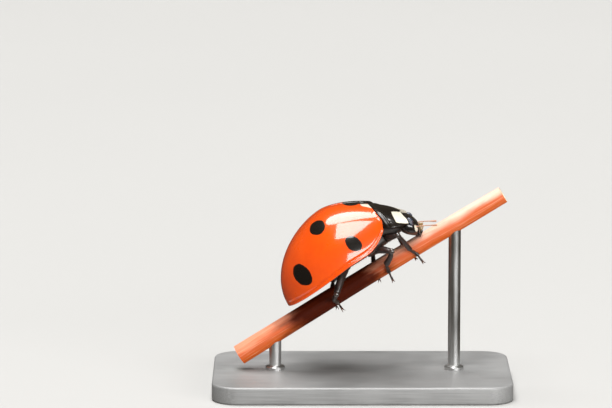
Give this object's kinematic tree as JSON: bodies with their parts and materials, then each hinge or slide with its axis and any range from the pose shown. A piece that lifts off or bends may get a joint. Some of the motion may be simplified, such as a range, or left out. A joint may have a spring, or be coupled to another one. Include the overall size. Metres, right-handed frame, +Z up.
{
  "type": "seven-spot ladybird climbing a cut stem on a display stand",
  "caption": "Life-size still model of a seven-spot ladybird climbing a short cut plant stem, held on a small flat display stand with two rods.",
  "frame": {"origin": "middle of the stand base's underside", "axes": "+Z up; the beetle climbs along +X, and its right side faces -Y"},
  "size_m": [0.0136, 0.008, 0.0092],
  "materials": {
    "shell_red": "glossy chitin, orange-red with black spots",
    "shell_black": "glossy black chitin",
    "underside": "black, finely haired chitin",
    "eye": "glossy faceted blue-black",
    "feeler": "brown chitin",
    "stem": "smooth salmon-pink plant stem with pale pith at its cut ends",
    "stand": "satin steel"
  },
  "bodies": {
    "root": {"elytron_left": "shell_red", "elytron_right": "shell_red", "pronotum": "shell_black", "scutellum": "shell_black", "head": "shell_black", "labrum": "shell_black", "eye_left": "eye", "mandible_left": "feeler", "palp_left": "feeler", "antenna_left": "feeler", "eye_right": "eye", "mandible_right": "feeler", "palp_right": "feeler", "antenna_right": "feeler", "thorax": "underside", "abdomen": "underside", "prothorax": "underside", "leg_front_left_femur": "shell_black", "leg_front_left_tibia": "shell_black", "leg_front_left_tarsus": "shell_black", "leg_front_right_femur": "shell_black", "leg_front_right_tibia": "shell_black", "leg_front_right_tarsus": "shell_black", "leg_middle_left_femur": "shell_black", "leg_middle_left_tibia": "shell_black", "leg_middle_left_tarsus": "shell_black", "leg_middle_right_femur": "shell_black", "leg_middle_right_tibia": "shell_black", "leg_middle_right_tarsus": "shell_black", "leg_hind_left_femur": "shell_black", "leg_hind_left_tibia": "shell_black", "leg_hind_left_tarsus": "shell_black", "leg_hind_right_femur": "shell_black", "leg_hind_right_tibia": "shell_black", "leg_hind_right_tarsus": "shell_black", "perch_stem": "stem", "stand_base": "stand", "stand_rod_low": "stand", "stand_rod_high": "stand"}
  },
  "joints": []
}
